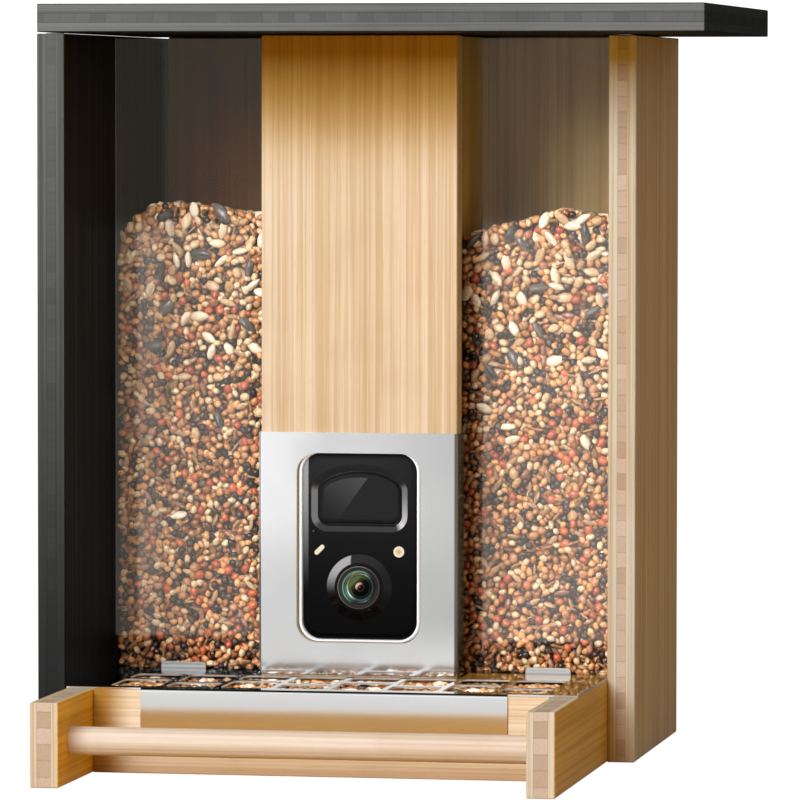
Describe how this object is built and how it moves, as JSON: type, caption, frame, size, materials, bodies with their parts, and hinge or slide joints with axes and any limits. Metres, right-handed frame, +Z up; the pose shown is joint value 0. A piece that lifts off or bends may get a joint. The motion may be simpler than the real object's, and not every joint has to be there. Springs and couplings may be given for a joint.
{
  "type": "smart bird feeder",
  "caption": "Bamboo bird feeder with two seed hoppers behind clear panes, a camera column, a hinged roof, a perch and a slotted lift-out seed plate.",
  "frame": {"origin": "middle of the footprint of the whole feeder, on the surface it stands on", "axes": "+X to the feeder's right as seen from the front, +Y to the rear, +Z up"},
  "size_m": [0.303, 0.2988, 0.3467],
  "materials": {
    "bamboo": "oiled",
    "black_bamboo": "black stain",
    "satin_steel": "satin",
    "mirror_steel": "mirror polished",
    "clear_acrylic": "clear",
    "zinc_steel": "zinc plated",
    "hinge_steel": "black",
    "insert_brass": "turned",
    "white_plastic": "moulded",
    "black_plastic": "moulded",
    "gloss_black": "gloss",
    "smoked_window": "gloss",
    "lens_glass": "coated",
    "cream_diffuser": "diffusing",
    "green_board": "solder mask",
    "cell_wrap": "shrink wrap",
    "grey_rubber": "moulded"
  },
  "bodies": {
    "feeder_body": {"left_side_board": "black_bamboo", "right_side_board": "bamboo", "back_board": "bamboo", "column_front_board": "bamboo", "left_partition": "bamboo", "right_partition": "bamboo", "tray_floor": "bamboo", "tray_apron": "bamboo", "left_perch_rail": "bamboo", "right_perch_rail": "bamboo", "perch_dowel": "bamboo", "left_seed_chute": "bamboo", "right_seed_chute": "bamboo", "camera_faceplate": "satin_steel", "left_hopper_window": "clear_acrylic", "right_hopper_window": "clear_acrylic", "carcass_dowels": "bamboo", "column_dowels": "bamboo", "tray_dowels": "bamboo", "back_screws": "zinc_steel", "rail_screws": "zinc_steel", "hinge_frame_leaves": "hinge_steel", "hinge_pins": "zinc_steel", "hinge_frame_screws": "zinc_steel", "frame_magnets": "zinc_steel", "pole_insert": "insert_brass", "service_cover": "bamboo", "service_cover_screws": "zinc_steel", "camera_cradle": "satin_steel", "cradle_screws": "zinc_steel", "clamp_knob": "black_plastic", "camera_housing": "white_plastic", "camera_back": "white_plastic", "case_gasket": "grey_rubber", "case_screws": "zinc_steel", "camera_face": "gloss_black", "sensor_window": "smoked_window", "motion_sensor": "zinc_steel", "lens_bezel": "black_plastic", "lens_barrel": "black_plastic", "lens_glass": "lens_glass", "light_cover": "cream_diffuser", "status_light": "cream_diffuser", "image_sensor_board": "green_board", "main_board": "green_board", "battery_cells": "cell_wrap", "speaker": "black_plastic", "charging_socket": "zinc_steel", "port_cover": "grey_rubber"},
    "roof": {"roof_board": "black_bamboo", "hinge_roof_leaves": "hinge_steel", "hinge_roof_screws": "zinc_steel", "roof_magnets": "zinc_steel"},
    "plate": {"seed_plate": "mirror_steel"},
    "button": {"power_button": "black_plastic"}
  },
  "joints": [
    {"name": "roof_hinge", "type": "hinge", "parent": "feeder_body", "child": "roof", "pos_m": [0, 0.147, 0.33365], "axis": [-1, 0, 0], "range_deg": [0, 100]},
    {"name": "seed_plate_lift", "type": "slide", "parent": "feeder_body", "child": "plate", "axis": [0, 0, 1], "range_m": [0, 0.06]},
    {"name": "power_button_press", "type": "slide", "parent": "feeder_body", "child": "button", "axis": [0, -1, 0], "range_m": [0, 0.0008], "stiffness_N_per_m": 1500}
  ]
}
